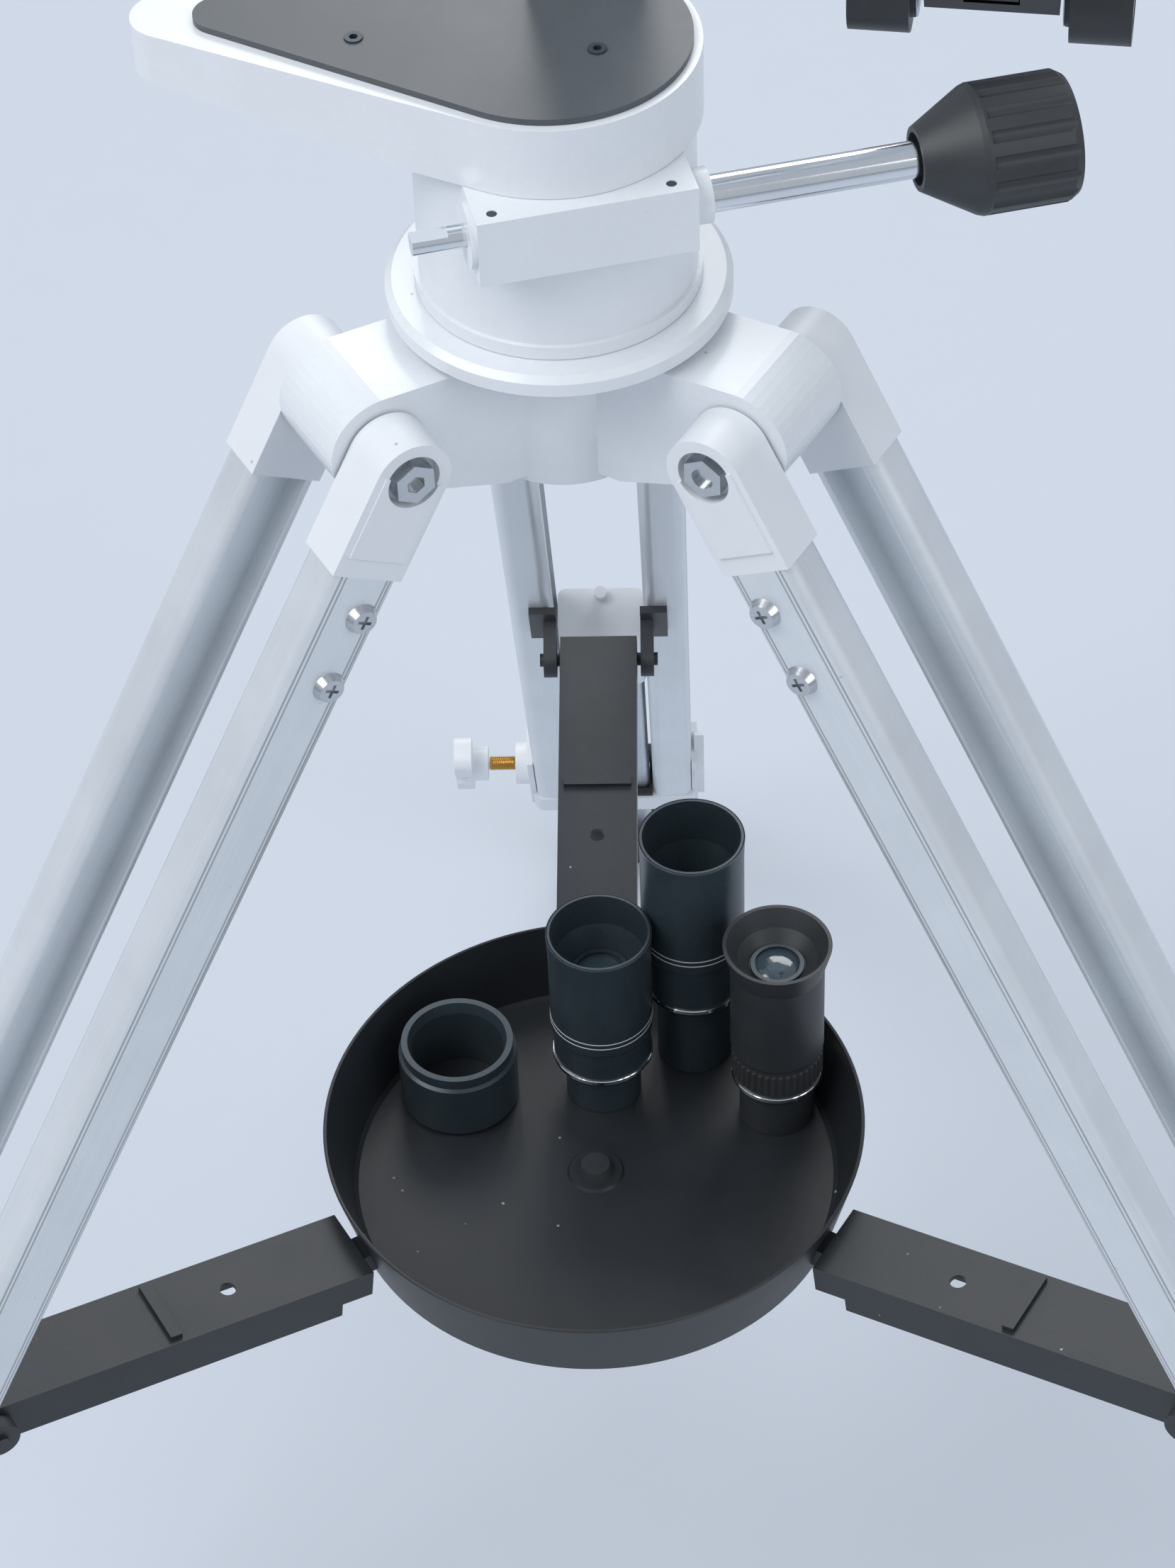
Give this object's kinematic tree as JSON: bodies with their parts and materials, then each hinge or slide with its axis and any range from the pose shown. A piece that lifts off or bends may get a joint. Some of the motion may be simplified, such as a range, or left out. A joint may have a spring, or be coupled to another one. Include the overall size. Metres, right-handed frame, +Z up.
{
  "type": "telescope on tripod",
  "caption": "Small refractor on an alt-azimuth mount and an aluminium tripod with a round accessory tray holding loose eyepieces.",
  "frame": {"origin": "on the floor under the tripod's vertical axis", "axes": "+Z up along the azimuth axis, +Y towards the rear leg, -Y the front between the other two legs"},
  "size_m": [0.9438, 0.8493, 1.4866],
  "materials": {
    "white_paint": "satin",
    "rail_metal": "brushed",
    "black_paint": "satin",
    "black_plastic": "fine texture",
    "steel": "plated",
    "chrome": "polished",
    "brass": "machined",
    "white_plastic": "satin",
    "rubber": "matt",
    "glass": "coated",
    "cover_grey": "satin"
  },
  "bodies": {
    "stand": {"tripod_head": "white_paint", "pivot_bolts": "steel", "pivot_nuts": "steel", "head_bolt": "steel", "azimuth_flange": "white_paint"},
    "left_leg": {"left_rails": "rail_metal", "left_caps": "white_plastic", "left_screws": "steel", "left_lugs": "black_plastic", "left_collar": "white_plastic"},
    "left_extension": {"left_inner": "rail_metal", "left_guide": "white_plastic", "left_foot": "rubber"},
    "left_clamp": {"left_knob": "white_plastic"},
    "left_brace": {"left_arm": "black_paint"},
    "right_leg": {"right_rails": "rail_metal", "right_caps": "white_plastic", "right_screws": "steel", "right_lugs": "black_plastic", "right_collar": "white_plastic"},
    "right_extension": {"right_inner": "rail_metal", "right_guide": "white_plastic", "right_foot": "rubber"},
    "right_clamp": {"right_knob": "white_plastic"},
    "right_brace": {"right_arm": "black_paint"},
    "rear_leg": {"rear_rails": "rail_metal", "rear_caps": "white_plastic", "rear_screws": "steel", "rear_lugs": "black_plastic", "rear_collar": "white_plastic"},
    "rear_extension": {"rear_inner": "rail_metal", "rear_guide": "white_plastic", "rear_foot": "rubber"},
    "rear_clamp": {"rear_knob": "white_plastic"},
    "rear_brace": {"rear_arm": "black_paint"},
    "tray": {"tray": "black_paint", "tray_screw": "black_plastic"},
    "wheel": {"azimuth_wheel": "brass"},
    "mount": {"turret": "white_paint", "worm_housing": "white_paint", "side_arm": "white_paint", "arm_cover": "cover_grey", "mount_screws": "steel", "column": "white_paint"},
    "worm": {"azimuth_worm": "chrome", "azimuth_knob": "black_plastic"},
    "telescope": {"altitude_hub": "chrome", "saddle": "white_paint", "tube": "white_paint", "dew_shield": "white_paint", "objective": "glass", "focuser": "black_paint"},
    "draw": {"draw_tube": "chrome", "dust_plug": "black_plastic"},
    "focus": {"focus_knobs": "black_plastic"},
    "spare_long_loose": {"spare_long": "black_paint"},
    "spare_short_loose": {"spare_short": "black_paint"},
    "spare_flared_loose": {"spare_flared": "black_plastic"},
    "spacer_ring_loose": {"spacer_ring": "black_paint"}
  },
  "joints": [
    {"name": "left_fold", "type": "hinge", "parent": "stand", "child": "left_leg", "pos_m": [-0.06928, -0.04, 0.793], "axis": [0.5, -0.866, 0], "range_deg": [0, 1]},
    {"name": "left_slide", "type": "slide", "parent": "left_leg", "child": "left_extension", "axis": [0.4317, 0.2492, 0.8669], "range_m": [-0.18, 0.05]},
    {"name": "left_clamp_turn", "type": "hinge", "parent": "left_leg", "child": "left_clamp", "pos_m": [-0.35842, -0.28892, 0.14109], "axis": [0.5, -0.866, 0], "range_deg": [-120, 120]},
    {"name": "left_brace_turn", "type": "hinge", "parent": "left_leg", "child": "left_brace", "pos_m": [-0.24172, -0.13956, 0.37872], "axis": [0.5, -0.866, 0], "range_deg": [0, 24.29]},
    {"name": "right_fold", "type": "hinge", "parent": "stand", "child": "right_leg", "pos_m": [0.06928, -0.04, 0.793], "axis": [0.5, 0.866, 0], "range_deg": [0, 1]},
    {"name": "right_slide", "type": "slide", "parent": "right_leg", "child": "right_extension", "axis": [-0.4317, 0.2492, 0.8669], "range_m": [-0.18, 0.05]},
    {"name": "right_clamp_turn", "type": "hinge", "parent": "right_leg", "child": "right_clamp", "pos_m": [0.42942, -0.16594, 0.14109], "axis": [0.5, 0.866, 0], "range_deg": [-120, 120]},
    {"name": "right_brace_turn", "type": "hinge", "parent": "right_leg", "child": "right_brace", "pos_m": [0.24172, -0.13956, 0.37872], "axis": [0.5, 0.866, 0], "range_deg": [0, 24.29]},
    {"name": "rear_fold", "type": "hinge", "parent": "stand", "child": "rear_leg", "pos_m": [0, 0.08, 0.793], "axis": [-1, 0, 0], "range_deg": [0, 1]},
    {"name": "rear_slide", "type": "slide", "parent": "rear_leg", "child": "rear_extension", "axis": [0, -0.4985, 0.8669], "range_m": [-0.18, 0.05]},
    {"name": "rear_clamp_turn", "type": "hinge", "parent": "rear_leg", "child": "rear_clamp", "pos_m": [-0.071, 0.45486, 0.14109], "axis": [-1, 0, 0], "range_deg": [-120, 120]},
    {"name": "rear_brace_turn", "type": "hinge", "parent": "rear_leg", "child": "rear_brace", "pos_m": [0, 0.27912, 0.37872], "axis": [-1, 0, 0], "range_deg": [0, 24.29]},
    {"name": "tray_lift", "type": "slide", "parent": "stand", "child": "tray", "axis": [0, 0, 1], "range_m": [0, 0.0672]},
    {"name": "azimuth_coarse", "type": "hinge", "parent": "stand", "child": "wheel", "pos_m": [0, 0, 0.8785], "axis": [0, 0, 1], "continuous": true},
    {"name": "azimuth_fine", "type": "hinge", "parent": "wheel", "child": "mount", "pos_m": [0, 0, 0.8785], "axis": [0, 0, 1], "continuous": true},
    {"name": "worm_turn", "type": "hinge", "parent": "mount", "child": "worm", "pos_m": [0.01064, -0.04269, 0.8785], "axis": [0.9703, 0.2419, 0], "continuous": true},
    {"name": "altitude", "type": "hinge", "parent": "mount", "child": "telescope", "pos_m": [0.02971, -0.00417, 1.134], "axis": [0.9903, -0.1392, 0], "range_deg": [-8, 55]},
    {"name": "focus_slide", "type": "slide", "parent": "telescope", "child": "draw", "axis": [-0.0696, -0.4951, 0.866], "range_m": [-0.04, 0]},
    {"name": "focus_turn", "type": "hinge", "parent": "telescope", "child": "focus", "pos_m": [0.15306, 0.1047, 0.86552], "axis": [0.9903, -0.1392, 0], "range_deg": [-1, 350]},
    {"name": "spare_long_lift", "type": "slide", "parent": "tray", "child": "spare_long_loose", "axis": [0, 0, 1], "range_m": [0, 0.1]},
    {"name": "spare_short_lift", "type": "slide", "parent": "tray", "child": "spare_short_loose", "axis": [0, 0, 1], "range_m": [0, 0.1]},
    {"name": "spare_flared_lift", "type": "slide", "parent": "tray", "child": "spare_flared_loose", "axis": [0, 0, 1], "range_m": [0, 0.1]},
    {"name": "spacer_ring_lift", "type": "slide", "parent": "tray", "child": "spacer_ring_loose", "axis": [0, 0, 1], "range_m": [0, 0.1]}
  ],
  "couplings": [
    {"joint": "left_brace_turn", "follows": "left_fold", "ratio": 24.237},
    {"joint": "right_fold", "follows": "left_fold", "ratio": 1},
    {"joint": "right_brace_turn", "follows": "left_fold", "ratio": 24.237},
    {"joint": "rear_fold", "follows": "left_fold", "ratio": 1},
    {"joint": "rear_brace_turn", "follows": "left_fold", "ratio": 24.237},
    {"joint": "tray_lift", "follows": "left_fold", "m_per_rad": 3.8189},
    {"joint": "worm_turn", "follows": "azimuth_fine", "ratio": 60},
    {"joint": "focus_turn", "follows": "focus_slide", "rad_per_m": -150}
  ]
}
